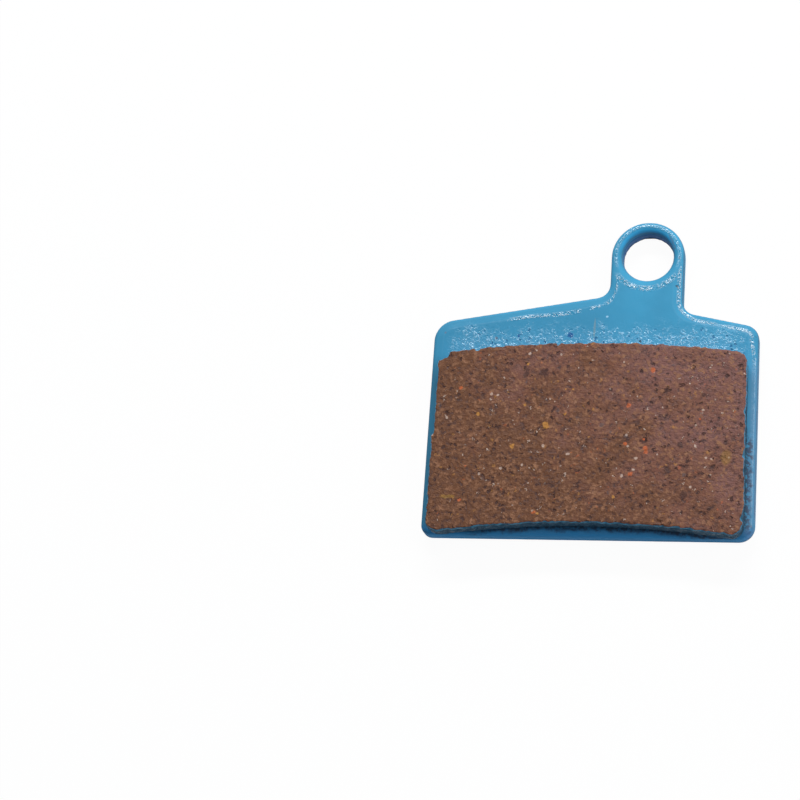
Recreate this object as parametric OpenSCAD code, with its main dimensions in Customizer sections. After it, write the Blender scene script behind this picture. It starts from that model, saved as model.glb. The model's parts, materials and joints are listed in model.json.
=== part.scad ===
// Bicycle brake pad: a stamped steel backing plate with a retaining eye, and a
// moulded friction lining keyed into it by two plugs.
// Millimetres. The origin is the centre of the eye's bore on the plate's back
// face, +Z points out of the friction face and +Y towards the eye's round head.

/* [Backing plate] */
// Width of the plate across its straight sides
plate_w = 31; // [28:0.5:34]
// Thickness of the steel with its coat
plate_t = 1.9; // [1.4:0.1:2.6]
// Distance from the eye's axis to the left side
left_reach = 20.3; // [17:0.1:22]
// Distance from the eye's axis down to the foot edge
foot_drop = 27.8; // [26:0.1:31]
// Radius of the rounded rim on both faces
rim_r = 0.4; // [0.3:0.05:0.65]
// Radius of the left foot corner
foot_left_r = 0.95; // [0.8:0.05:2]
// Radius of the right foot corner
foot_right_r = 1.5; // [0.8:0.05:2]

/* [Shoulders] */
// Drop from the eye's axis to where the left shoulder meets the eye
left_root_drop = 4; // [3:0.05:5.5]
// Fall of the left shoulder, away from the eye, in degrees
left_fall = 8.9; // [4:0.1:13]
// Radius of the left shoulder corner
left_shoulder_r = 2.1; // [0.9:0.05:2.5]
// Radius of the fillet between the left shoulder and the eye
left_root_r = 1.35; // [0.8:0.05:2]
// Drop from the eye's axis to where the right shoulder meets the eye
right_root_drop = 5.7; // [4:0.05:6.5]
// Fall of the right shoulder, away from the eye, in degrees
right_fall = 12.4; // [6:0.1:16]
// Radius of the right shoulder corner
right_shoulder_r = 1.5; // [0.9:0.05:2.5]
// Radius of the fillet between the right shoulder and the eye
right_root_r = 1.3; // [0.8:0.05:2]

/* [Retaining eye] */
// Width of the eye, which is also its round head's diameter
eye_d = 7; // [6.6:0.05:8.5]
// Diameter of the bore for the retaining pin
bore_d = 4.85; // [4:0.1:5.2]
// Radius of the bore's rolled edge on the front face
bore_roll = 0.6; // [0.2:0.05:0.7]

/* [Keying holes] */
// Diameter of the two holes that hold the lining's plugs
key_d = 5.5; // [4:0.1:7]
// Distance between the two holes
key_spacing = 20; // [14:0.5:22]
// Height of the holes above the foot edge
key_rise = 11.8; // [9:0.1:13]
// Radius of the holes' rolled edges on the back face
key_roll = 0.25; // [0.1:0.05:0.4]

/* [Friction lining] */
// Thickness of the lining above the plate
lining_t = 1.6; // [0.6:0.1:2.6]
// Height of the lining, between its upper and its lower arc
lining_h = 17; // [15:0.1:18.5]
// Radius of the lower arc, which follows the rotor's inner track
track_r = 96; // [80:1:140]
// Bare margin left and right of the lining
side_margin = 0.9; // [0.7:0.05:2]
// Bare margin below the lining's two lower corners
foot_margin = 0.3; // [0.3:0.05:1.5]
// Radius of the lining's corners
lining_corner_r = 1.1; // [0.5:0.05:1.5]
// Gap between a plug and the wall of its hole
plug_clearance = 0.02; // [0.01:0.01:0.05]
// How far each plug stops short of the plate's back face
plug_recess = 0.15; // [0.05:0.05:0.5]

/* [Hidden] */
$fn = 96;

// Furthest that a drawn arc may stray from the true one
chord_error = 0.004;
// Steps in each quarter round of the rim and of a hole's rolled edge
rim_steps = 5;
// How far a cut runs past a face, and a plug into the lining it belongs to
past = 0.5;

eye_r = eye_d / 2;
bore_r = bore_d / 2;
key_r = key_d / 2;
right_reach = plate_w - left_reach;
mid_x = (right_reach - left_reach) / 2;
foot_y = -foot_drop;
key_y = foot_y + key_rise;
left_shoulder_y = -left_root_drop - (left_reach - eye_r) * tan(left_fall);
right_shoulder_y = -right_root_drop - (right_reach - eye_r) * tan(right_fall);

function arc_steps(r, sweep) = ceil(abs(sweep) / (2 * acos(1 - chord_error / r)));

// Points along an arc about c, counted in steps, with its end points or without
function arc(c, r, from, sweep, steps, ends = true) =
    let (skip = ends ? 0 : 1)
    [for (i = [skip:steps - skip])
        let (a = from + sweep * i / steps)
        c + r * [cos(a), sin(a)]];

// The plate's corners as [place, radius], anticlockwise from the left end of the
// eye's round head to its right end
corners = [
    [[-eye_r, 0], 0],
    [[-eye_r, -left_root_drop], left_root_r],
    [[-left_reach, left_shoulder_y], left_shoulder_r],
    [[-left_reach, foot_y], foot_left_r],
    [[right_reach, foot_y], foot_right_r],
    [[right_reach, right_shoulder_y], right_shoulder_r],
    [[eye_r, -right_root_drop], right_root_r],
    [[eye_r, 0], 0]
];
last = len(corners) - 1;

function place(k) = corners[k][0];
function radius(k) = corners[k][1];
// Direction of travel along side k, and the way that side faces
function along(k) = (place(k + 1) - place(k)) / norm(place(k + 1) - place(k));
function facing(k) = [along(k).y, -along(k).x];
// Turn at corner k: positive at a convex corner, negative in a fillet
function turn(k) = asin(cross(along(k - 1), along(k)));
function is_convex(k) = turn(k) > 0;
// Centre of corner k's round, inside the plate at a convex corner
function round_centre(k) =
    place(k) - radius(k) * tan(abs(turn(k)) / 2) * along(k - 1)
    - sign(turn(k)) * radius(k) * facing(k - 1);
function round_start(k) =
    atan2(facing(k - 1).y, facing(k - 1).x) + (is_convex(k) ? 0 : 180);

// The plate's outline, drawn in by an inset, with as many points at each inset
function outline(inset) = [
    for (k = [1:last - 1])
        each arc(round_centre(k), radius(k) - sign(turn(k)) * inset,
            round_start(k), turn(k), arc_steps(radius(k), turn(k))),
    each arc([0, 0], eye_r - inset, 0, 180, arc_steps(eye_r, 180))
];

// The rim's quarter round as [inset, height] steps from a face to the side
rim_profile = [
    for (i = [0:rim_steps])
        let (a = 90 * i / rim_steps)
        rim_r * [1 - sin(a), 1 - cos(a)]
];
levels = concat(
    rim_profile,
    [for (i = [rim_steps:-1:0]) [rim_profile[i][0], plate_t - rim_profile[i][1]]]
);

// The blank: the outline lofted from face to face, with its rim rounded on both.
// Each face is a fan about a point below the eye, which sees the whole outline.
module plate_blank() {
    rings = [for (level = levels) [for (p = outline(level[0])) [p.x, p.y, level[1]]]];
    n = len(rings[0]);
    top = len(levels) - 1;
    fan = [0, -max(left_root_drop, right_root_drop) - 2];
    back_fan = n * (top + 1);
    front_fan = back_fan + 1;
    points = [
        for (ring = rings) each ring,
        [fan.x, fan.y, 0],
        [fan.x, fan.y, plate_t]
    ];
    faces = [
        for (i = [0:n - 1])
            let (next = (i + 1) % n)
            each [
                [back_fan, i, next],
                [front_fan, top * n + next, top * n + i],
                for (j = [0:top - 1])
                    each [
                        [j * n + i, (j + 1) * n + i, (j + 1) * n + next],
                        [j * n + i, (j + 1) * n + next, j * n + next]
                    ]
            ]
    ];
    polyhedron(points, faces);
}

module each_key() {
    for (side = [-1, 1])
        translate([mid_x + side * key_spacing / 2, key_y])
            children();
}

// A punched hole right through the plate. Its edge is rolled over on the side
// that the punch came from, and sharp where a roll is 0.
module punched_hole(r, back_roll, front_roll) {
    back_edge = back_roll > 0
        ? arc([r + back_roll, back_roll], back_roll, 270, -90, rim_steps)
        : [[r, 0]];
    front_edge = front_roll > 0
        ? arc([r + front_roll, plate_t - front_roll], front_roll, 180, -90, rim_steps)
        : [[r, plate_t]];
    rotate_extrude()
        polygon([
            [0, -past],
            [r + back_roll, -past],
            each back_edge,
            each front_edge,
            [r + front_roll, plate_t + past],
            [0, plate_t + past]
        ]);
}

module backing_plate() {
    color([0.22, 0.56, 0.74])
        difference() {
            plate_blank();
            punched_hole(bore_r, 0, bore_roll);
            each_key()
                punched_hole(key_r, key_roll, 0);
        }
}

// The lining's long edges are arcs about one centre, which lies where the lower
// corners keep their margin to the plate's foot
inner_r = track_r;
outer_r = track_r + lining_h;
corner_x = plate_w / 2 - side_margin - lining_corner_r;
low_r = inner_r + lining_corner_r;
high_r = outer_r - lining_corner_r;
low_angle = asin(corner_x / low_r);
high_angle = asin(corner_x / high_r);
low_y = low_r * cos(low_angle);
high_y = high_r * cos(high_angle);
arc_y = foot_y + foot_margin + lining_corner_r - low_y;

function lining_corner(x, y, from, sweep) =
    arc([x, y], lining_corner_r, from, sweep, arc_steps(lining_corner_r, sweep));

// The lining's outline, anticlockwise from its lower left corner, about the
// centre of its arcs
lining_outline = [
    each lining_corner(-corner_x, low_y, 180, 90 + low_angle),
    each arc([0, 0], inner_r, 90 + low_angle, -2 * low_angle,
        arc_steps(inner_r, 2 * low_angle), ends = false),
    each lining_corner(corner_x, low_y, -90 - low_angle, 90 + low_angle),
    each lining_corner(corner_x, high_y, 0, 90 - high_angle),
    each arc([0, 0], outer_r, 90 - high_angle, 2 * high_angle,
        arc_steps(outer_r, 2 * high_angle), ends = false),
    each lining_corner(-corner_x, high_y, 90 + high_angle, 90 - high_angle)
];

module friction_lining() {
    color([0.42, 0.31, 0.27]) {
        translate([mid_x, arc_y, plate_t])
            linear_extrude(lining_t)
                polygon(lining_outline);
        each_key()
            translate([0, 0, plug_recess])
                cylinder(h = plate_t - plug_recess + past, r = key_r - plug_clearance);
    }
}

backing_plate();
friction_lining();
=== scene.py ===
import json
import math

import bpy
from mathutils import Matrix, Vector


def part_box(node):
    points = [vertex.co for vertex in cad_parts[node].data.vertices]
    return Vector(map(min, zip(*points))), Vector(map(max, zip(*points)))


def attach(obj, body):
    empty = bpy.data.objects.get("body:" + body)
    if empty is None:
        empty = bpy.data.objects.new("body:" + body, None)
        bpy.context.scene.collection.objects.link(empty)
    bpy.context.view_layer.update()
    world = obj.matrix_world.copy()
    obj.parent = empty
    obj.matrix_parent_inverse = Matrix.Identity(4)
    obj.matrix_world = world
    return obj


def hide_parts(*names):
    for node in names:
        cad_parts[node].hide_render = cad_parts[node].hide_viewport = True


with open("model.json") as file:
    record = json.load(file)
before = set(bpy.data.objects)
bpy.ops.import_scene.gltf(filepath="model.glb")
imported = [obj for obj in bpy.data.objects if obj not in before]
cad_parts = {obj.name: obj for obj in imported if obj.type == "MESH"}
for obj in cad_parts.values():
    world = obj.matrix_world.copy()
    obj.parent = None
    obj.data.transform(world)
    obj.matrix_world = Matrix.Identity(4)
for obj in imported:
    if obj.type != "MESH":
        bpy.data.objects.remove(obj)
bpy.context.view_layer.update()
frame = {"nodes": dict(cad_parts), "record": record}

# The camera
# It looks down on the pad as it lies on its back, from the foot's side and a
# little from the right, as in the photograph.
millimetre = 0.001
camera_place = (24.86, -80.42, 199.37)
camera_turn = (18.900, 12.281, 4.256)
sensor_width = 36.0
focal_length = 100.47
near_limit = 0.01

bpy.ops.object.select_all(action="DESELECT")
bpy.ops.object.camera_add(
    location=[c * millimetre for c in camera_place],
    rotation=[math.radians(a) for a in camera_turn],
)
camera = bpy.context.object
camera.name = "camera"
camera.data.sensor_width = sensor_width
camera.data.lens = focal_length
camera.data.clip_start = near_limit
bpy.context.scene.camera = camera
bpy.context.scene.view_settings.view_transform = "Standard"

# The floor
# A white matt table top, level with the plate's back face. What the camera and
# reflections see of it is mostly a plain white that still takes a faint shadow.
floor_size = 3.0
floor_white = (0.80, 0.80, 0.80, 1)
plain_white = (1, 1, 1, 1)
floor_glow_share = 0.96


def add_node(tree, kind, sets=(), **values):
    """Adds a node, sets its properties, then links or fills its inputs."""
    node = tree.nodes.new(kind)
    for key, value in values.items():
        setattr(node, key, value)
    for socket, value in dict(sets).items():
        if isinstance(value, bpy.types.NodeSocket):
            tree.links.new(value, node.inputs[socket])
        else:
            node.inputs[socket].default_value = value
    return node


def calc(tree, operation, first, second=0.0, third=0.0):
    """Adds a math node and returns its output."""
    node = add_node(tree, "ShaderNodeMath", {0: first, 1: second, 2: third}, operation=operation)
    return node.outputs[0]


def mix_shaders(tree, share, under, over):
    """Mixes two shaders' outputs, and gives all of the second where share is 1."""
    node = add_node(
        tree, "ShaderNodeMixShader", {"Fac": share, 1: under.outputs[0], 2: over.outputs[0]},
    )
    return node.outputs[0]


bpy.ops.object.select_all(action="DESELECT")
bpy.ops.mesh.primitive_plane_add(size=floor_size, location=(0, 0, 0))
floor = bpy.context.object
floor.name = "floor"
floor_paint = bpy.data.materials.new("white table top")
floor_paint.use_nodes = True
tree = floor_paint.node_tree
tree.nodes.clear()
ray = add_node(tree, "ShaderNodeLightPath").outputs
seen = calc(tree, "MAXIMUM", ray["Is Camera Ray"], ray["Is Glossy Ray"])
seen = calc(tree, "MAXIMUM", seen, ray["Is Transmission Ray"])
glow_share = calc(tree, "MULTIPLY", seen, floor_glow_share)
matt = add_node(tree, "ShaderNodeBsdfDiffuse", {"Color": floor_white})
glow = add_node(tree, "ShaderNodeEmission", {"Color": plain_white, "Strength": 1.0})
surface = mix_shaders(tree, glow_share, matt, glow)
add_node(tree, "ShaderNodeOutputMaterial", {"Surface": surface})
floor.data.materials.append(floor_paint)

# The studio
# A dim pale room and two soft boxes: a long one behind the eye's head, which
# glints on the rolled-over edges, and a square one overhead on the right.
room_light = 0.23
room_colour = (0.84, 0.95, 1.10, 1)
key_place = (-0.03, 0.375, 0.34)
key_power = 3.0
key_size = (0.40, 0.05)
fill_place = (0.34, 0.05, 0.33)
fill_power = 1.0
fill_size = (0.22, 0.22)
aim = (-0.0048, -0.012, 0.002)

world = bpy.data.worlds.new("studio")
bpy.context.scene.world = world
world.use_nodes = True
tree = world.node_tree
tree.nodes.clear()
room = add_node(tree, "ShaderNodeBackground", {"Color": room_colour, "Strength": room_light})
backdrop = add_node(tree, "ShaderNodeBackground", {"Color": plain_white, "Strength": 1.0})
seen = add_node(tree, "ShaderNodeLightPath").outputs["Is Camera Ray"]
surface = mix_shaders(tree, seen, room, backdrop)
add_node(tree, "ShaderNodeOutputWorld", {"Surface": surface})


def add_soft_box(name, place, power, size):
    """Adds an area lamp that points at the pad."""
    bpy.ops.object.light_add(type="AREA", location=place)
    lamp = bpy.context.object
    lamp.name = name
    lamp.data.shape = "RECTANGLE"
    lamp.data.size = size[0]
    lamp.data.size_y = size[1]
    lamp.data.energy = power
    away = Vector(place) - Vector(aim)
    lamp.rotation_euler = away.to_track_quat("Z", "Y").to_euler()


add_soft_box("key_box", key_place, key_power, key_size)
add_soft_box("fill_box", fill_place, fill_power, fill_size)

# The backing plate
# Stamped from steel sheet, so that its edges are rolled over, and coated in blue
# powder that has baked to a semi-gloss skin, blistered beside the lining.
plate_low, plate_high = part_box("backing_plate")
plate_middle = (plate_low + plate_high) / 2
plate_voxel = 0.000135
plate_smoothing = 4
merge_distance = 0.000001
wall_tilt = 0.05
key_spacing = 0.020
key_rise = 0.0118
key_hole_reach = 0.0032
roll_ends = 0.00110
roll_full = 0.00050
roll_fall = 0.00010
edge_reach = 0.0016
coat_wave = 0.000010
coat_wave_length = 0.0011
bead_place = (-0.00122, 0.00220, 0.00042)
bead_radius = 0.00026
bead_shape = (1.6, 0.8, 1.2)
bead_turn = 0.51
coat_blue = (0.036, 0.292, 0.488, 1)
coat_deep_blue = (0.026, 0.205, 0.350, 1)
coat_back_blue = (0.001, 0.250, 0.500, 1)
coat_frost_and_glint = (0.42, 0.66, 0.83, 1)
crest_glint_white = (0.60, 0.78, 0.90, 1)
coat_pit = (0.004, 0.075, 0.235, 1)
right_rim_sheen = (0.20, 0.19, 0.32, 1)
rim_violet = (0.090, 0.054, 0.095, 1)
foot_shade_blue = (0.020, 0.225, 0.530, 1)
bore_roll_lit_blue = (0.036, 0.420, 0.780, 1)
bore_line_blue = (0.010, 0.085, 0.270, 1)
bore_grey = (0.070, 0.125, 0.300, 1)
grime_and_shade = (0.012, 0.022, 0.040, 1)
scratch_tan = (0.16, 0.24, 0.27, 1)
rust = (0.14, 0.09, 0.10, 1)
soot = (0.02, 0.02, 0.03, 1)
bare_brown = (0.060, 0.042, 0.022, 1)


def copy_of_node(node, name):
    """Copies a CAD node's mesh into a new object and merges its loose triangles."""
    bpy.ops.object.select_all(action="DESELECT")
    piece = node.copy()
    piece.data = node.data.copy()
    piece.parent = None
    bpy.context.collection.objects.link(piece)
    piece.name = name
    piece.hide_render = False
    piece.hide_viewport = False
    piece.select_set(True)
    bpy.context.view_layer.objects.active = piece
    bpy.ops.object.mode_set(mode="EDIT")
    bpy.ops.mesh.select_all(action="SELECT")
    bpy.ops.mesh.remove_doubles(threshold=merge_distance)
    bpy.ops.object.mode_set(mode="OBJECT")
    piece.data.materials.clear()
    return piece


def apply_modifier(piece, name, kind, **values):
    """Adds a modifier with the given values and applies it at once."""
    modifier = piece.modifiers.new(name, kind)
    for key, value in values.items():
        setattr(modifier, key, value)
    bpy.ops.object.modifier_apply(modifier=modifier.name)


def make_active(piece):
    """Selects one piece alone and makes it the active one."""
    bpy.ops.object.select_all(action="DESELECT")
    piece.select_set(True)
    bpy.context.view_layer.objects.active = piece


def is_wall(face):
    """Says whether a face stands upright in the rim or in the bore."""
    upright = abs(face.normal.z) < wall_tilt
    key_holes = [
        (plate_middle.x + side * key_spacing / 2, plate_low.y + key_rise) for side in (-1, 1)
    ]
    by_key_hole = any(math.dist(face.center[:2], hole) < key_hole_reach for hole in key_holes)
    return upright and not by_key_hole


# The upright walls alone are kept as a guide to where the edges roll over
guide = copy_of_node(frame["nodes"]["backing_plate"], "wall_guide")
bpy.ops.object.mode_set(mode="EDIT")
bpy.ops.mesh.select_mode(type="FACE")
bpy.ops.mesh.select_all(action="DESELECT")
bpy.ops.object.mode_set(mode="OBJECT")
for face in guide.data.polygons:
    face.select = not is_wall(face)
bpy.ops.object.mode_set(mode="EDIT")
bpy.ops.mesh.delete(type="FACE")
bpy.ops.object.mode_set(mode="OBJECT")

plate = copy_of_node(frame["nodes"]["backing_plate"], "coated_plate")

# A run of paint that has dried as a bead on the bore's back edge
bpy.ops.mesh.primitive_ico_sphere_add(
    subdivisions=3, radius=bead_radius, location=bead_place,
    rotation=(0, 0, bead_turn), scale=bead_shape,
)
bead = bpy.context.object
bead.data.materials.clear()
make_active(plate)
bead.select_set(True)
bpy.ops.object.join()

apply_modifier(
    plate, "even mesh", "REMESH", mode="VOXEL", voxel_size=plate_voxel, use_smooth_shade=True,
)
apply_modifier(plate, "soften", "SMOOTH", factor=0.5, iterations=plate_smoothing)


def weigh_by_walls(name, lowest, none_at, full_at, falloff):
    """Weights the plate's points above a height by how near they are to a wall."""
    group = plate.vertex_groups.new(name=name)
    group.add([v.index for v in plate.data.vertices if v.co.z > lowest], 1.0, "REPLACE")
    apply_modifier(
        plate, name, "VERTEX_WEIGHT_PROXIMITY",
        vertex_group=name, target=guide, proximity_mode="GEOMETRY",
        proximity_geometry={"FACE"}, min_dist=none_at, max_dist=full_at, falloff_type=falloff,
    )


# The front falls away towards the walls. Both weights are kept as attributes, by
# which the coat's material finds the roll and the way in from the edge.
weigh_by_walls("rolled edge", plate_middle.z, roll_ends, roll_full, "SMOOTH")
apply_modifier(
    plate, "rolled edge", "DISPLACE",
    direction="Z", strength=-roll_fall, mid_level=0.0, vertex_group="rolled edge",
)
weigh_by_walls("near the edge", -math.inf, edge_reach, 0.0, "LINEAR")
bpy.data.objects.remove(guide)
for group_name, attribute_name in (("rolled edge", "roll_share"), ("near the edge", "edge_share")):
    group_index = plate.vertex_groups[group_name].index
    shares = [
        sum(g.weight for g in vertex.groups if g.group == group_index)
        for vertex in plate.data.vertices
    ]
    plate.data.attributes.new(attribute_name, "FLOAT", "POINT").data.foreach_set("value", shares)


def add_clouds(name, length, depth):
    """Adds a cloudy texture of the given wave length for a displacement."""
    texture = bpy.data.textures.new(name, "CLOUDS")
    texture.noise_scale = length
    texture.noise_depth = depth
    return texture


# The coat's own gentle wave
apply_modifier(
    plate, "coat wave", "DISPLACE",
    texture=add_clouds("coat wave", coat_wave_length, 2), texture_coords="LOCAL",
    strength=coat_wave, mid_level=0.5,
)


def add_group(name, inputs, outputs):
    """Starts a node group with named sockets, and gives its tree, its input and its output."""
    group = bpy.data.node_groups.new(name, "ShaderNodeTree")
    for label, kind in inputs:
        group.interface.new_socket(name=label, in_out="INPUT", socket_type=kind)
    for label, kind in outputs:
        group.interface.new_socket(name=label, in_out="OUTPUT", socket_type=kind)
    return group, add_node(group, "NodeGroupInput").outputs, add_node(group, "NodeGroupOutput").inputs


def use_group(tree, group, **sets):
    """Places a node group in a material; underscores stand for spaces."""
    node = add_node(tree, "ShaderNodeGroup", node_tree=group)
    for key, value in sets.items():
        socket = node.inputs[key.replace("_", " ")]
        if isinstance(value, bpy.types.NodeSocket):
            tree.links.new(value, socket)
        else:
            socket.default_value = value
    return node


def product(tree, *factors):
    """Multiplies masks together."""
    result = factors[0]
    for factor in factors[1:]:
        result = calc(tree, "MULTIPLY", result, factor)
    return result


def opposite(tree, mask):
    """Is 1 where a mask is 0, and 0 where it is 1."""
    return calc(tree, "SUBTRACT", 1.0, mask)


def ramp(tree, value, low, high):
    """Rises smoothly from 0 at low to 1 at high; low may be the greater."""
    node = add_node(
        tree, "ShaderNodeMapRange",
        {"Value": value, "From Min": low, "From Max": high, "To Min": 0.0, "To Max": 1.0},
        interpolation_type="SMOOTHSTEP",
    )
    return node.outputs["Result"]


def between(tree, value, low, high, soft):
    """Is 1 between low and high, and falls off over a soft margin at both ends."""
    rise = ramp(tree, value, low - soft, low + soft)
    fall = ramp(tree, value, high + soft, high - soft)
    return product(tree, rise, fall)


def tint(tree, share, under, over, strength=1.0):
    """Lays a colour over another where share is high, up to the given strength."""
    if strength < 1.0:
        share = product(tree, share, strength)
    node = add_node(
        tree, "ShaderNodeMix", {"Factor": share, 6: under, 7: over}, data_type="RGBA",
    )
    return node.outputs[2]


def noise(tree, place, per_millimetre, detail=2.0, roughness=0.5):
    """Adds a cloudy noise of the given fineness and returns its value."""
    node = add_node(
        tree, "ShaderNodeTexNoise",
        {"Vector": place, "Scale": per_millimetre, "Detail": detail, "Roughness": roughness},
    )
    return node.outputs["Fac"]


def patchy(tree, place, per_millimetre, low, high, detail=3.0, roughness=0.5):
    """Breaks a surface up into random patches, which are full where the noise passes high."""
    return ramp(tree, noise(tree, place, per_millimetre, detail, roughness), low, high)


def ragged(tree, value, place, per_millimetre, reach, detail=3.0, roughness=0.5):
    """Shifts a value at random by up to half the reach, so that a mask's edge wanders."""
    cloud = noise(tree, place, per_millimetre, detail, roughness)
    return calc(tree, "ADD", value, calc(tree, "MULTIPLY_ADD", cloud, reach, -reach / 2))


def jostled(tree, place, per_millimetre, reach):
    """Moves places about by a noise, so that a pattern laid on them loses its regular shape."""
    push = add_node(
        tree, "ShaderNodeTexNoise", {"Vector": place, "Scale": per_millimetre, "Detail": 2.0},
    )
    moved = add_node(
        tree, "ShaderNodeVectorMath",
        {0: push.outputs["Color"], 1: (reach, reach, reach), 2: place}, operation="MULTIPLY_ADD",
    )
    return moved.outputs[0]


def cells(tree, place, per_millimetre, feature="F1"):
    """Adds a pattern of random cells and returns its outputs."""
    node = add_node(
        tree, "ShaderNodeTexVoronoi", {"Vector": place, "Scale": per_millimetre}, feature=feature,
    )
    return node.outputs


def vector_math(tree, operation, first, second=(0.0, 0.0, 0.0), scale=1.0):
    """Adds a vector math node and returns its outputs."""
    sets = {0: first, "Scale": scale} if operation == "SCALE" else {0: first, 1: second}
    return add_node(tree, "ShaderNodeVectorMath", sets, operation=operation).outputs


# A single mark: a ragged patch at a place of its own on the surface
mark_noise_fineness = 3.5
mark_edge = (1.25, 0.75)
noise_middle = (0.5, 0.5, 0.5)

mark_group, mark_in, mark_out = add_group(
    "mark",
    [("Place", "NodeSocketVector"), ("Centre", "NodeSocketVector"),
     ("Half Size", "NodeSocketVector"), ("Turn", "NodeSocketFloat"),
     ("Ragged", "NodeSocketFloat")],
    [("Mask", "NodeSocketFloat")],
)
mark_noise = add_node(
    mark_group, "ShaderNodeTexNoise",
    {"Vector": mark_in["Place"], "Scale": mark_noise_fineness, "Detail": 3.0},
).outputs["Color"]
mark_push = vector_math(mark_group, "SUBTRACT", mark_noise, noise_middle)[0]
mark_push = vector_math(mark_group, "SCALE", mark_push, scale=mark_in["Ragged"])[0]
mark_place = vector_math(mark_group, "ADD", mark_in["Place"], mark_push)[0]
mark_place = add_node(
    mark_group, "ShaderNodeVectorRotate",
    {"Vector": mark_place, "Center": mark_in["Centre"], "Angle": mark_in["Turn"]},
    rotation_type="Z_AXIS",
).outputs[0]
mark_place = vector_math(mark_group, "SUBTRACT", mark_place, mark_in["Centre"])[0]
mark_place = vector_math(mark_group, "DIVIDE", mark_place, mark_in["Half Size"])[0]
mark_distance = vector_math(mark_group, "LENGTH", mark_place)["Value"]
mark_group.links.new(ramp(mark_group, mark_distance, *mark_edge), mark_out["Mask"])


def mark(tree, place, centre, half_size, turn, raggedness):
    """Gives the mask of one mark, with its places and sizes in millimetres."""
    node = use_group(
        tree, mark_group,
        Place=place, Centre=centre, Half_Size=half_size, Turn=turn, Ragged=raggedness,
    )
    return node.outputs["Mask"]


# The powder coat's own colour and skin, wherever it has landed
coat_group, coat_in, coat_out = add_group(
    "blue coat",
    [("Place", "NodeSocketVector")],
    [("Colour", "NodeSocketColor"), ("Peel", "NodeSocketFloat")],
)
coat_shade = patchy(coat_group, coat_in["Place"], per_millimetre=0.25, low=0.15, high=1.10)
coat_colour = tint(coat_group, coat_shade, coat_blue, coat_deep_blue)
coat_group.links.new(coat_colour, coat_out["Colour"])
coat_group.links.new(noise(coat_group, coat_in["Place"], per_millimetre=1.6), coat_out["Peel"])


def start_material(name):
    """Starts a material and gives its tree, its shader, its place in millimetres and its normal."""
    material = bpy.data.materials.new(name)
    material.use_nodes = True
    tree = material.node_tree
    source = add_node(tree, "ShaderNodeTexCoord").outputs
    place = vector_math(tree, "SCALE", source["Object"], scale=1 / millimetre)[0]
    return material, tree, tree.nodes["Principled BSDF"], place, source["Normal"]


def split(tree, vector):
    """Splits a vector into its x, y and z."""
    return add_node(tree, "ShaderNodeSeparateXYZ", {0: vector}).outputs


# In the masks below, lengths are in millimetres and heights count from the back
# face. A pair says where a mask starts and where it is full. Three numbers are the
# two ends of a zone and its soft margin.
front_rise = (1.3, 1.6)
back_rise = (0.5, 0.1)
left_shade_rise = (1.0, -6.0)
left_shade_share = 0.50
low_shade_rise = (-4.0, -7.5)
low_shade_share = 0.33

coat, tree, shader, place, facing = start_material("blue powder coat")
x, y, z = split(tree, place)
from_axis = calc(tree, "SQRT", calc(tree, "ADD", product(tree, x, x), product(tree, y, y)))
blue = use_group(tree, coat_group, Place=place).outputs
front = ramp(tree, z, *front_rise)
# Painted shade: the front is darker towards the left and below the eye, where less light falls
painted_shade = product(tree, ramp(tree, x, *left_shade_rise), left_shade_share)
painted_shade = calc(tree, "MULTIPLY_ADD", ramp(tree, y, *low_shade_rise), low_shade_share, painted_shade)
colour = tint(tree, product(tree, painted_shade, front), blue["Colour"], coat_deep_blue)
# The back is painted a more saturated blue to stand in for the different light on it; it is the same
# paint as the front
colour = tint(tree, ramp(tree, z, *back_rise), colour, coat_back_blue)

# The crest, where the edges begin to roll over, is uneven and glints in places, and white glints are
# painted along it as painted highlights. It lies further in on the shoulders, and fades out towards
# the left side.
crest_depth = (0.32, 0.67, 0.09)
left_root_shift = 0.55
left_root_rise = (-2.0, -3.4)
left_middle_shift = 0.28
left_middle_zone = (-9.5, -5.5, 2.0)
right_shift = 0.25
right_rise = (3.6, 5.0)
shift_rise = (-10.5, -8.5)
clear_of_bore = (3.25, 3.50)
left_end_rise = (-13.8, -12.4)
crest_gap = (-6.1, -5.3, 0.2)
side_rise = (-12.5, -9.0)
side_least = 0.3
eye_crest_ring = (2.88, 3.22, 0.10)
eye_crest_rise = (-1.9, -0.9)
below_eye_ring = (3.02, 3.66, 0.15)
below_eye_rise = (-1.4, -2.4)
bore_lip_edge = (3.24, 3.06)
bore_lip_rise = (-0.4, -1.6)

roll = add_node(tree, "ShaderNodeAttribute", attribute_name="roll_share").outputs["Fac"]
nearness = add_node(tree, "ShaderNodeAttribute", attribute_name="edge_share").outputs["Fac"]
reach = edge_reach / millimetre
from_edge = calc(tree, "MULTIPLY_ADD", nearness, -reach, reach)
shift = product(tree, ramp(tree, x, *left_root_rise), left_root_shift)
shift = calc(tree, "MULTIPLY_ADD", between(tree, x, *left_middle_zone), left_middle_shift, shift)
shift = calc(tree, "MULTIPLY_ADD", ramp(tree, x, *right_rise), right_shift, shift)
shift = product(tree, shift, ramp(tree, y, *shift_rise))
edge_crest = product(
    tree,
    between(tree, calc(tree, "SUBTRACT", from_edge, shift), *crest_depth),
    front,
    ramp(tree, from_axis, *clear_of_bore),
    ramp(tree, x, *left_end_rise),
    opposite(tree, between(tree, x, *crest_gap)),
    calc(tree, "MULTIPLY_ADD", ramp(tree, y, *side_rise), 1.0 - side_least, side_least),
)
eye_crest = between(tree, from_axis, *eye_crest_ring)
eye_crest = product(tree, eye_crest, ramp(tree, y, *eye_crest_rise), front)
below_eye = between(tree, from_axis, *below_eye_ring)
below_eye = product(tree, below_eye, ramp(tree, y, *below_eye_rise), front)
bore_lip = ramp(tree, from_axis, *bore_lip_edge)
bore_lip = product(tree, bore_lip, ramp(tree, y, *bore_lip_rise), front)
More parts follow.
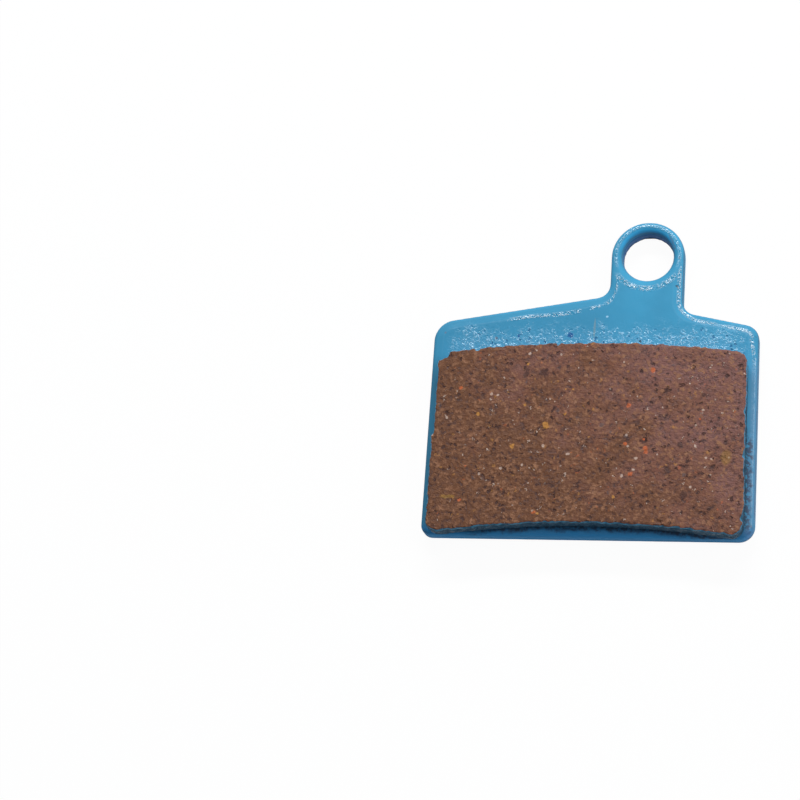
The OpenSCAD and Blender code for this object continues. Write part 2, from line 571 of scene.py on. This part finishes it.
lower_crest = calc(tree, "MAXIMUM", edge_crest, below_eye)
crest = calc(tree, "MAXIMUM", lower_crest, eye_crest)
crest_patches = patchy(tree, place, per_millimetre=1.1, low=0.30, high=0.46)
crest = product(tree, crest, crest_patches, opposite(tree, bore_lip))

# The blistered band beside the lining's upper edge, thickest at the lining
band_rise = (-6.5, -9.2)
band_across = (-18.2, 9.3, 1.0)
band_under_lining = (-10.8, -9.9)

band = ramp(tree, ragged(tree, y, place, per_millimetre=0.7, reach=3.4), *band_rise)
band = product(
    tree, band, front, between(tree, x, *band_across), ramp(tree, y, *band_under_lining)
)

# Blisters have pale broken rims, partly pale frost and partly painted highlights, and some have sunk
# to dark pits
blisters_per_millimetre = 2.5
glints_per_millimetre = 4.2
blister_rim = (0.22, 0.03)
glint_rim = (0.18, 0.05)
eye_glint_share = 0.45
pit_share = 0.20
pit_edge = (0.42, 0.18)

blister_place = jostled(tree, place, per_millimetre=2.2, reach=0.55)
blister_rims = cells(tree, blister_place, blisters_per_millimetre, "DISTANCE_TO_EDGE")["Distance"]
rim_breaks = patchy(tree, place, per_millimetre=1.5, low=0.42, high=0.60)
crest_breaks = patchy(tree, place, per_millimetre=5.0, low=0.38, high=0.55, detail=2.0)
rim_breaks = product(tree, rim_breaks, crest_breaks)
frost_and_glint = product(tree, ramp(tree, blister_rims, *blister_rim), rim_breaks, band)
glint_rims = cells(tree, blister_place, glints_per_millimetre, "DISTANCE_TO_EDGE")["Distance"]
glint_zone = calc(tree, "MAXIMUM", lower_crest, product(tree, eye_crest, eye_glint_share))
glints = product(tree, ramp(tree, glint_rims, *glint_rim), glint_zone, crest, crest_breaks)
# Painted highlights: the band a little paler, and its blister rims paler still, partly as pale frost
colour = tint(tree, band, colour, coat_frost_and_glint, strength=0.10)
colour = tint(tree, frost_and_glint, colour, coat_frost_and_glint, strength=0.46)
# Painted highlights: white glints along the crest, below the eye and on the eye's ring
colour = tint(tree, glints, colour, crest_glint_white, strength=0.80)
pit_cells = cells(tree, blister_place, blisters_per_millimetre)
pit_pick = add_node(tree, "ShaderNodeSeparateColor", {"Color": pit_cells["Color"]}).outputs["Red"]
pits = calc(tree, "LESS_THAN", pit_pick, pit_share)
pits = product(tree, pits, ramp(tree, pit_cells["Distance"], *pit_edge), band)
colour = tint(tree, pits, colour, coat_pit, strength=0.62)

# Inside the bore: a brighter blue painted on the roll at the eye's top as painted light, a dark line
# under the roll, and a greyer wall below it
pin_eye = next(mount for mount in frame["record"]["mounts"] if mount["name"] == "pin_eye")
bore_radius = pin_eye["dims"]["r_mm"]
bore_roll_ring = (bore_radius, bore_radius + 0.40, 0.12)
bore_roll_rise = (0.2, 1.6)
in_bore_edge = (bore_radius + 0.30, bore_radius + 0.16)
bore_wall_rise = (1.10, 0.85)
bore_line_zone = (0.98, 1.22, 0.10)

bore_roll = product(tree, between(tree, from_axis, *bore_roll_ring), front)
bore_roll = product(tree, bore_roll, ramp(tree, y, *bore_roll_rise))
colour = tint(tree, bore_roll, colour, bore_roll_lit_blue, strength=0.70)
in_bore = ramp(tree, from_axis, *in_bore_edge)
bore_wall = product(tree, in_bore, ramp(tree, z, *bore_wall_rise))
colour = tint(tree, bore_wall, colour, bore_grey, strength=0.75)
bore_line = product(tree, in_bore, between(tree, z, *bore_line_zone))
colour = tint(tree, bore_line, colour, bore_line_blue, strength=0.80)

# Painted shade in a deeper blue along the foot's edge. Dust and soot where the plate meets the
# lining's lower arc, the rotor's track, painted together with the shade in that corner, and dust and
# soot by the lower right side of the lining
track_centre = (round(plate_middle.x / millimetre, 3), -122.56)
track_radius = 96.0
foot_shade_rise = (-26.5, -27.3)
foot_dirt_shade_zone = (-0.60, 0.62, 0.22)
foot_dirt_shade_across = (-15.5, 8.8, 1.5)
foot_dirt_shade_least = 0.55
foot_dirt_shade_range = 0.35
side_dirt_zone = (9.4, 10.30, 0.20)
side_dirt_along = (-27.2, -18.0, 0.9)

colour = tint(tree, ramp(tree, y, *foot_shade_rise), colour, foot_shade_blue, strength=0.65)
across = calc(tree, "SUBTRACT", x, track_centre[0])
along = calc(tree, "SUBTRACT", y, track_centre[1])
squares = calc(tree, "ADD", product(tree, across, across), product(tree, along, along))
below_lining = calc(tree, "SUBTRACT", track_radius, calc(tree, "SQRT", squares))
below_lining = ragged(
    tree, below_lining, place, per_millimetre=0.9, reach=1.3, detail=4.0, roughness=0.65,
)
foot_dirt_and_shade = product(
    tree, between(tree, below_lining, *foot_dirt_shade_zone), front, between(tree, x, *foot_dirt_shade_across)
)
foot_dirt_shade_grain = patchy(tree, place, per_millimetre=3.0, low=0.35, high=0.6)
foot_dirt_shade_grain = calc(tree, "MULTIPLY_ADD", foot_dirt_shade_grain, foot_dirt_shade_range, foot_dirt_shade_least)
colour = tint(tree, product(tree, foot_dirt_and_shade, foot_dirt_shade_grain), colour, grime_and_shade)
beside_lining = ragged(tree, x, place, per_millimetre=1.6, reach=1.6, detail=4.0, roughness=0.7)
side_dirt = between(tree, beside_lining, *side_dirt_zone)
side_dirt = product(tree, side_dirt, between(tree, y, *side_dirt_along), front)
side_dirt_grain = patchy(tree, place, per_millimetre=2.6, low=0.40, high=0.54, roughness=0.7)
side_dirt = product(tree, side_dirt, side_dirt_grain)
colour = tint(tree, side_dirt, colour, grime_and_shade, strength=0.85)

# A painted violet sheen on the right rim, and painted shade on the left rim
below_shoulders = (-9.5, -12.5)
right_rim_rise = (9.5, 10.3)
left_rim_rise = (-19.3, -19.8)

right_rim = product(tree, ramp(tree, x, *right_rim_rise), ramp(tree, y, *below_shoulders))
colour = tint(tree, right_rim, colour, right_rim_sheen, strength=0.22)
left_rim = product(tree, ramp(tree, x, *left_rim_rise), ramp(tree, y, *below_shoulders))
colour = tint(tree, left_rim, colour, grime_and_shade, strength=0.30)

# A violet shade along the top of the rim's wall. At the back the coat has pulled
# away from the sharp edge, and shows brown there.
wall_tilt_rise = (0.80, 0.35)
rim_shade_rise = (1.15, 1.45)
above_foot = (-26.6, -25.0)
worn_zone = (0.00, 0.30, 0.08)
worn_tilt_rise = (0.97, 0.85)

tilt = calc(tree, "ABSOLUTE", split(tree, facing)["Z"])
rim_wall = ramp(tree, tilt, *wall_tilt_rise)
rim_shade = product(tree, rim_wall, ramp(tree, z, *rim_shade_rise), ramp(tree, y, *above_foot))
colour = tint(tree, rim_shade, colour, rim_violet, strength=0.42)
worn_height = ragged(tree, z, place, per_millimetre=1.4, reach=0.5, detail=4.0, roughness=0.7)
worn = product(tree, between(tree, worn_height, *worn_zone), ramp(tree, tilt, *worn_tilt_rise))
colour = tint(tree, worn, colour, bare_brown, strength=0.85)

# Single marks, listed one by one: centre, half size, turn, raggedness, colour, strength
marks = [
    ((-20.20, -8.00, 0.1), (0.55, 1.05, 0.7), 0.0, 0.80, rust, 0.85),
    ((10.40, -27.45, 0.0), (0.65, 0.60, 0.6), 0.0, 0.70, bare_brown, 0.85),
    ((-10.6, -10.1, 0.0), (0.07, 0.10, 0.3), 0.0, 0.10, soot, 0.60),
    ((-12.0, -20.1, 0.0), (0.09, 0.09, 0.3), 0.0, 0.20, coat_pit, 0.70),
    ((8.7, -25.9, 0.0), (0.08, 0.08, 0.3), 0.0, 0.10, soot, 0.60),
    ((5.1, -12.2, 0.0), (0.09, 0.15, 0.3), 0.0, 0.10, coat_frost_and_glint, 0.60),
    ((2.4, -23.3, 0.0), (0.28, 0.09, 0.3), 0.5, 0.40, coat_pit, 0.60),
    ((2.91, -3.20, 1.9), (0.18, 0.11, 0.5), 0.3, 0.35, soot, 0.75),
    ((-4.75, -7.45, 1.9), (0.10, 0.98, 0.5), 0.02, 0.10, scratch_tan, 0.62),
    ((2.33, 1.36, 1.8), (0.08, 0.95, 0.6), -0.45, 0.35, rust, 0.40),
    ((3.05, -0.25, 1.8), (0.06, 0.22, 0.6), 0.0, 0.20, soot, 0.35),
    ((-19.15, -7.75, 1.8), (0.12, 0.12, 0.6), 0.0, 0.20, rust, 0.40),
    ((10.4, -8.3, 1.7), (0.08, 0.08, 0.6), 0.0, 0.15, soot, 0.35),
    ((-14.15, -8.35, 1.9), (0.13, 0.15, 0.5), 0.0, 0.20, rust, 0.50),
    ((-12.0, -8.15, 1.9), (0.10, 0.15, 0.5), 0.0, 0.15, coat_pit, 0.90),
    ((-7.05, -8.05, 1.9), (0.26, 0.28, 0.5), 0.0, 0.50, coat_pit, 0.90),
    ((-0.35, -8.75, 1.9), (0.12, 0.12, 0.5), 0.0, 0.15, soot, 0.80),
    # a painted glint
    ((-3.60, -6.25, 1.9), (0.09, 0.10, 0.5), 0.0, 0.20, coat_frost_and_glint, 0.60),
]
for centre, half_size, turn, raggedness, mark_colour, strength in marks:
    mask = mark(tree, place, centre, half_size, turn, raggedness)
    colour = tint(tree, mask, colour, mark_colour, strength)

# The clear skin: glossy on the blisters and on the crest, and dull on the walls, on
# the roll and at the eye's top
roll_start = (0.0, 0.12)
eye_top_rise = (1.0, 2.4)
skin_clear = 0.4
crest_clear = 0.5
eye_top_clear = -0.5
skin_roughness = 0.34
blister_roughness = 0.14
dull_roughness = 0.40

dull = product(tree, ramp(tree, roll, *roll_start), front)
dull = calc(tree, "MAXIMUM", calc(tree, "MAXIMUM", rim_wall, dull), bore_lip)
dull = product(tree, dull, opposite(tree, crest))
clear = calc(tree, "MULTIPLY_ADD", crest, crest_clear, skin_clear)
clear = calc(tree, "MULTIPLY_ADD", dull, -skin_clear, clear)
eye_top = product(tree, ramp(tree, y, *eye_top_rise), front)
clear = calc(tree, "MULTIPLY_ADD", eye_top, eye_top_clear, clear)
blistered = calc(tree, "MAXIMUM", band, crest)
gloss = add_node(
    tree, "ShaderNodeMapRange",
    {"Value": blistered, "To Min": skin_roughness, "To Max": blister_roughness},
).outputs["Result"]
gloss = calc(tree, "MULTIPLY_ADD", dull, dull_roughness, gloss)
tree.links.new(colour, shader.inputs["Base Color"])
tree.links.new(gloss, shader.inputs["Roughness"])
tree.links.new(calc(tree, "MAXIMUM", clear, 0.0), shader.inputs["Coat Weight"])
shader.inputs["Coat Roughness"].default_value = 0.10
shader.inputs["Specular IOR Level"].default_value = 0.35

# The skin's relief: orange peel, grit, rims and pits in front, and ripples at the
# back's edge
back_edge_tilt = (0.998, 0.93)
back_edge_rise = (0.5, 0.3)
peel_relief = 0.05
band_relief = 0.7
crest_relief = 0.95
rim_relief = 0.35
pit_relief = 0.5
ripple_relief = 1.5
coat_relief = 0.00012

grit = calc(tree, "SUBTRACT", noise(tree, place, per_millimetre=3.6, roughness=0.6), 0.5)
height = product(tree, blue["Peel"], peel_relief)
height = calc(tree, "ADD", height, product(tree, grit, band, band_relief))
height = calc(tree, "ADD", height, product(tree, grit, crest, crest_relief))
rims = calc(tree, "MAXIMUM", frost_and_glint, glints)
height = calc(tree, "ADD", height, product(tree, rims, rim_relief))
height = calc(tree, "SUBTRACT", height, product(tree, pits, pit_relief))
back_edge = product(tree, ramp(tree, tilt, *back_edge_tilt), ramp(tree, z, *back_edge_rise))
ripple = product(tree, noise(tree, place, per_millimetre=2.0), back_edge, ripple_relief)
height = calc(tree, "ADD", height, ripple)
bump = add_node(
    tree, "ShaderNodeBump", {"Height": height, "Strength": 1.0, "Distance": coat_relief},
)
tree.links.new(bump.outputs["Normal"], shader.inputs["Normal"])
plate.data.materials.append(coat)
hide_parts("backing_plate")
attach(plate, "root")

# The friction lining
# An organic compound of resin, fibres and metal grains, moulded onto the plate
# and through its key holes. The coat has drifted over its walls, not its face.
lining_front = round(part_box("friction_lining")[1].z / millimetre, 3)
lining_voxel = 0.000122
wall_foot = 0.0021
wall_slope = 0.9
wall_wave = 0.00036
wall_wave_length = 0.00065
grain_relief = 0.000035
grain_length = 0.00035
crumb_relief = 0.00022
crumb_length = 0.0003
flash_height = 0.00185
flash_spread = (1.0035, 1.0290, 1.0)
flash_middle = (0.0098, -0.01487, 0.0019)
lining_brown = (0.158, 0.065, 0.041, 1)
lining_mauve = (0.180, 0.082, 0.070, 1)
lining_olive = (0.128, 0.053, 0.026, 1)
lining_dark = (0.060, 0.028, 0.024, 1)
lining_pale = (0.252, 0.122, 0.068, 1)
grain_white = (0.60, 0.46, 0.38, 1)
grain_grey = (0.075, 0.062, 0.070, 1)
grain_yellow = (0.45, 0.205, 0.045, 1)
grain_orange = (0.50, 0.115, 0.035, 1)
stain_olive = (0.27, 0.145, 0.035, 1)
plug_brown = (0.056, 0.042, 0.017, 1)
plug_speck = (0.22, 0.17, 0.07, 1)

# Chips broken out of the lining's front edges, in millimetres: centre, then radii
chips = [
    ((-19.30, -10.10, 3.45), (1.05, 1.00, 1.60)),
    ((9.90, -20.36, 3.5), (0.30, 0.26, 0.45)),
    ((9.85, -26.30, 3.5), (0.26, 0.30, 0.40)),
    ((9.95, -27.35, 3.5), (0.30, 0.35, 0.40)),
    ((-15.6, -9.95, 3.5), (0.30, 0.20, 0.35)),
    ((-7.9, -9.50, 3.5), (0.20, 0.28, 0.35)),
    ((9.85, -16.1, 3.5), (0.16, 0.35, 0.30)),
    ((2.2, -26.72, 3.5), (0.30, 0.14, 0.25)),
]

# The upper half of the left edge is broken back a little: the cut's centre and size
step_cut = ((-19.57, -14.0, 2.7), (0.50, 9.2, 2.0))

lining = copy_of_node(frame["nodes"]["friction_lining"], "moulded_lining")

# The compound has spread a little past the mould towards its foot and its sides
for vertex in lining.data.vertices:
    vertex.select = vertex.co.z > flash_height
bpy.ops.object.mode_set(mode="EDIT")
bpy.ops.transform.resize(value=flash_spread, center_override=flash_middle)
bpy.ops.object.mode_set(mode="OBJECT")


def cut_away(piece, cutter):
    """Cuts one solid out of another and removes the cutter."""
    make_active(piece)
    apply_modifier(piece, "cut", "BOOLEAN", operation="DIFFERENCE", object=cutter, solver="EXACT")
    bpy.data.objects.remove(cutter)


crumble = add_clouds("crumble", crumb_length, 2)
for chip_place, chip_radii in chips:
    bpy.ops.object.select_all(action="DESELECT")
    bpy.ops.mesh.primitive_ico_sphere_add(
        subdivisions=4, radius=millimetre,
        location=[c * millimetre for c in chip_place], scale=chip_radii,
    )
    chip = bpy.context.object
    apply_modifier(
        chip, "crumble", "DISPLACE",
        texture=crumble, texture_coords="GLOBAL", strength=crumb_relief, mid_level=0.5,
    )
    cut_away(lining, chip)

step_place, step_size = step_cut
bpy.ops.mesh.primitive_cube_add(
    size=millimetre, location=[c * millimetre for c in step_place], scale=step_size,
)
cut_away(lining, bpy.context.object)

apply_modifier(
    lining, "even mesh", "REMESH", mode="VOXEL", voxel_size=lining_voxel, use_smooth_shade=True,
)
apply_modifier(lining, "soften", "SMOOTH", factor=0.5, iterations=1)

# The walls have crumbled coarsely, and the whole surface is finely grained
walls = lining.vertex_groups.new(name="walls")
on_walls = [
    v.index for v in lining.data.vertices if abs(v.normal.z) < wall_slope and v.co.z > wall_foot
]
walls.add(on_walls, 1.0, "REPLACE")
apply_modifier(
    lining, "wall wave", "DISPLACE",
    texture=add_clouds("wall wave", wall_wave_length, 3), texture_coords="LOCAL",
    strength=wall_wave, mid_level=0.5, vertex_group="walls",
)
apply_modifier(
    lining, "grain", "DISPLACE",
    texture=add_clouds("grain", grain_length, 3), texture_coords="LOCAL",
    strength=grain_relief, mid_level=0.62,
)

# Scattered grains: some of the cells of a fine random pattern
grain_least = 0.20
grain_range = 0.35
grain_edge = (-0.06, 0.14)

grain_group, grain_in, grain_out = add_group(
    "grains",
    [("Place", "NodeSocketVector"), ("Per Millimetre", "NodeSocketFloat"),
     ("Share", "NodeSocketFloat")],
    [("Mask", "NodeSocketFloat")],
)
grain_place = jostled(grain_group, grain_in["Place"], per_millimetre=4.0, reach=0.60)
grain_cells = cells(grain_group, grain_place, grain_in["Per Millimetre"])
grain_random = add_node(
    grain_group, "ShaderNodeSeparateColor", {"Color": grain_cells["Color"]},
).outputs
grain_chosen = calc(grain_group, "LESS_THAN", grain_random["Red"], grain_in["Share"])
grain_size = calc(grain_group, "MULTIPLY_ADD", grain_random["Blue"], grain_range, grain_least)
grain_depth = calc(grain_group, "SUBTRACT", grain_size, grain_cells["Distance"])
grain_mask = product(grain_group, grain_chosen, ramp(grain_group, grain_depth, *grain_edge))
grain_group.links.new(grain_mask, grain_out["Mask"])

# The ground mass: fine light and dark crumbs, olive at the left foot and mauve
# towards the upper right
crumbs_per_millimetre = 3.6
crumb_share = 0.18
powder_share = 0.42
streak_share = 0.22
cloud_share = 0.18
streak_turn = (0, 0, 0.7)
streak_shape = (1.0, 1.7, 1.4)
slope_across = 0.032
slope_up = 0.031
slope_level = 1.016
olive_rise = (0.5, 0.0)
mauve_rise = (0.3, 1.0)
dark_rise = (0.30, 0.50)
pale_rise = (0.50, 0.68)

compound, tree, shader, place, facing = start_material("organic friction compound")
x, y, z = split(tree, place)
up = split(tree, facing)["Z"]
crumb_place = jostled(tree, place, per_millimetre=2.5, reach=0.25)
crumb_colour = cells(tree, crumb_place, crumbs_per_millimetre)["Color"]
crumb_shade = add_node(tree, "ShaderNodeSeparateColor", {"Color": crumb_colour}).outputs["Red"]
powder = noise(tree, place, per_millimetre=3.3, detail=2.5, roughness=0.58)
clouds = noise(tree, place, per_millimetre=0.8, detail=3.0)
raked_place = add_node(
    tree, "ShaderNodeMapping",
    {"Vector": place, "Rotation": streak_turn, "Scale": streak_shape},
).outputs[0]
streaks = noise(tree, raked_place, per_millimetre=1.7)
mixed = product(tree, crumb_shade, crumb_share)
for part, share in ((powder, powder_share), (streaks, streak_share), (clouds, cloud_share)):
    mixed = calc(tree, "MULTIPLY_ADD", part, share, mixed)
slope = calc(tree, "MULTIPLY_ADD", x, slope_across, slope_level)
slope = calc(tree, "MULTIPLY_ADD", y, slope_up, slope)
slope = ragged(tree, slope, place, per_millimetre=0.3, reach=1.6, detail=2.0)
ground = tint(tree, ramp(tree, slope, *olive_rise), lining_brown, lining_olive)
ground = tint(tree, ramp(tree, slope, *mauve_rise), ground, lining_mauve)
colour = tint(tree, ramp(tree, mixed, *dark_rise), lining_dark, ground)
colour = tint(tree, ramp(tree, mixed, *pale_rise), colour, lining_pale)

# Grains scattered through the compound: fineness, share of cells, colour, strength.
# Each kind reads the random pattern at a place of its own.
coarse_dark = (1.5, 0.060, lining_dark, 0.70)
fine_dark = (2.9, 0.110, lining_dark, 0.90)
fine_white = (4.2, 0.032, grain_white, 0.65)
grains = [
    coarse_dark,
    (2.2, 0.014, grain_grey, 0.60),
    fine_dark,
    fine_white,
    (2.3, 0.060, lining_pale, 0.90),
    (3.2, 0.030, grain_yellow, 0.42),
    (3.9, 0.016, grain_orange, 0.38),
]
grain_masks = {}
for kind in grains:
    per_millimetre, share, grain_colour, strength = kind
    own_place = vector_math(tree, "ADD", place, (per_millimetre * 7, share * 900, 3.0))[0]
    specks = use_group(
        tree, grain_group, Place=own_place, Per_Millimetre=per_millimetre, Share=share,
    )
    grain_masks[kind] = specks.outputs["Mask"]
    colour = tint(tree, grain_masks[kind], colour, grain_colour, strength)

# The larger flecks of the friction face, listed one by one: x, y, half size
fleck_flatness = 0.8
fleck_raggedness = 1.6
face_depth = 0.6
orange_flecks = [
    (1.15, -12.17, 0.27), (-0.95, -15.60, 0.22), (-16.93, -13.94, 0.21), (-1.16, -19.38, 0.19),
    (0.70, -19.80, 0.24), (0.78, -20.15, 0.21), (-0.58, -22.26, 0.22), (5.64, -16.94, 0.11),
    (-16.4, -24.93, 0.18), (-16.05, -21.63, 0.10), (-9.35, -26.0, 0.19), (0.55, -18.9, 0.14),
]
yellow_flecks = [
    (-10.65, -11.55, 0.13), (-8.62, -17.58, 0.36), (-15.13, -16.52, 0.18), (-11.71, -19.65, 0.25),
    (-10.71, -15.62, 0.15), (-6.25, -14.04, 0.10), (-6.95, -14.04, 0.10), (-6.89, -16.49, 0.14),
    (-2.05, -24.47, 0.16), (-9.0, -26.1, 0.14),
]
dark_flecks = [
    (-10.75, -12.6, 0.32), (-9.1, -12.4, 0.42), (-15.5, -13.8, 0.28), (-0.15, -17.3, 0.35),
    (5.9, -14.6, 0.22), (4.4, -24.2, 0.40), (3.9, -19.5, 0.30), (-12.2, -25.8, 0.22),
    (-12.62, -12.15, 0.24),
]
white_flecks = [
    (-10.52, -10.50, 0.13), (-7.52, -10.61, 0.13), (-13.96, -14.52, 0.14), (-13.34, -14.63, 0.14),
    (-18.12, -16.87, 0.14), (-12.47, -14.14, 0.08), (-8.37, -15.02, 0.11), (-7.89, -15.27, 0.08),
    (-6.72, -17.96, 0.09), (-1.08, -18.49, 0.14), (-0.11, -20.76, 0.17), (-0.29, -21.83, 0.16),
    (-1.35, -22.44, 0.16), (6.30, -20.64, 0.14), (6.81, -20.79, 0.11), (8.38, -20.62, 0.10),
    (1.82, -20.38, 0.10), (4.94, -23.43, 0.13), (-6.45, -20.36, 0.18), (-10.00, -23.22, 0.10),
    (-12.67, -21.79, 0.14), (-14.67, -22.34, 0.14), (-10.68, -21.47, 0.13), (-8.79, -19.61, 0.16),
    (5.89, -16.07, 0.13), (5.29, -17.52, 0.10),
]
fleck_sets = (
    (orange_flecks, grain_orange, 0.72),
    (yellow_flecks, grain_yellow, 0.80),
    (dark_flecks, lining_dark, 0.80),
    (white_flecks, grain_white, 0.55),
)
for flecks, fleck_colour, strength in fleck_sets:
    for fleck_x, fleck_y, half in flecks:
        fleck = mark(
            tree, place, (fleck_x, fleck_y, lining_front),
            (half, half * fleck_flatness, face_depth), fleck_x, half * fleck_raggedness,
        )
        colour = tint(tree, fleck, colour, fleck_colour, strength)

# Two olive stains of resin on the friction face: centre, half size, strength
stains = [
    ((-17.56, -24.56), (0.70, 0.17), 0.70),
    ((8.11, -20.57), (0.48, 0.66), 0.50),
]
for centre, half_size, strength in stains:
    stain = mark(tree, place, (*centre, lining_front), (*half_size, face_depth), 0.0, 0.5)
    colour = tint(tree, stain, colour, stain_olive, strength)

# The coat that drifted over the walls, and the soot in the corner at their foot, painted together
# with the shade on the lower walls
drift_tilt_rise = (0.86, 0.66)
above_plugs = (1.0, 1.3)
soot_and_shade_rise = (3.60, 3.10)
soot_and_shade_along = (-10.5, -14.0)

blue = use_group(tree, coat_group, Place=place).outputs
drift = ramp(tree, ragged(tree, up, place, per_millimetre=2.5, reach=0.5), *drift_tilt_rise)
drift = product(tree, drift, ramp(tree, z, *above_plugs))
colour = tint(tree, drift, colour, blue["Colour"], strength=0.92)
wall_soot_and_shade = ramp(tree, ragged(tree, z, place, per_millimetre=1.2, reach=0.8), *soot_and_shade_rise)
wall_soot_and_shade = product(tree, drift, wall_soot_and_shade)
wall_soot_and_shade = product(tree, wall_soot_and_shade, ramp(tree, y, *soot_and_shade_along))
colour = tint(tree, wall_soot_and_shade, colour, grime_and_shade, strength=0.80)

# The plugs' ends at the back: dark olive brown, each with a ragged patch of the
# coat. A patch is a centre, half size, turn and raggedness; the right one has a bay.
plug_rise = (1.0, 0.7)
patch_depth = 1.0
patch_edge = (0.45, 0.60)
left_patch_shape = ((-14.9, -15.75, 0.2), (1.95, 1.95, patch_depth), 0.0, 2.2)
right_patch_shape = ((5.75, -16.2, 0.2), (1.75, 2.15, patch_depth), 0.2, 2.2)
right_bay_shape = ((3.85, -15.9, 0.2), (1.15, 0.75, patch_depth), 0.0, 1.4)

plug = ramp(tree, z, *plug_rise)
colour = tint(tree, plug, colour, plug_brown, strength=0.90)
plug_specks = patchy(tree, place, per_millimetre=4.0, low=0.54, high=0.64, detail=2.0)
colour = tint(tree, product(tree, plug, plug_specks), colour, plug_speck, strength=0.7)
right_bay = mark(tree, place, *right_bay_shape)
right_patch = product(tree, mark(tree, place, *right_patch_shape), opposite(tree, right_bay))
patches = calc(tree, "MAXIMUM", mark(tree, place, *left_patch_shape), right_patch)
patches = ragged(tree, patches, place, per_millimetre=3.0, reach=1.2)
plug_coat = product(tree, plug, ramp(tree, patches, *patch_edge))
colour = tint(tree, plug_coat, colour, blue["Colour"])

# The compound is dry, with each crumb's own roughness, and the coat on it is glossier
dry_least = 0.45
dry_range = 0.45
drift_roughness = 0.36
crumb_height = 0.25
powder_height = 0.8
coarse_dark_depth = 0.4
fine_dark_depth = 0.5
fine_white_height = 0.4
plug_coat_height = 0.35
compound_relief = 0.00020

covered = calc(tree, "MAXIMUM", calc(tree, "SUBTRACT", drift, wall_soot_and_shade), plug_coat)
dry = calc(tree, "MULTIPLY_ADD", crumb_shade, dry_range, dry_least)
gloss = add_node(
    tree, "ShaderNodeMapRange", {"Value": covered, "To Min": dry, "To Max": drift_roughness},
).outputs["Result"]
tree.links.new(colour, shader.inputs["Base Color"])
tree.links.new(gloss, shader.inputs["Roughness"])
shader.inputs["Specular IOR Level"].default_value = 0.2
height = product(tree, crumb_shade, crumb_height)
height = calc(tree, "MULTIPLY_ADD", powder, powder_height, height)
height = calc(tree, "SUBTRACT", height, product(tree, grain_masks[coarse_dark], coarse_dark_depth))
height = calc(tree, "SUBTRACT", height, product(tree, grain_masks[fine_dark], fine_dark_depth))
height = calc(tree, "ADD", height, product(tree, grain_masks[fine_white], fine_white_height))
height = calc(tree, "ADD", height, product(tree, plug_coat, plug_coat_height))
bump = add_node(
    tree, "ShaderNodeBump", {"Height": height, "Strength": 0.9, "Distance": compound_relief},
)
tree.links.new(bump.outputs["Normal"], shader.inputs["Normal"])
lining.data.materials.append(compound)
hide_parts("friction_lining")
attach(lining, "root")
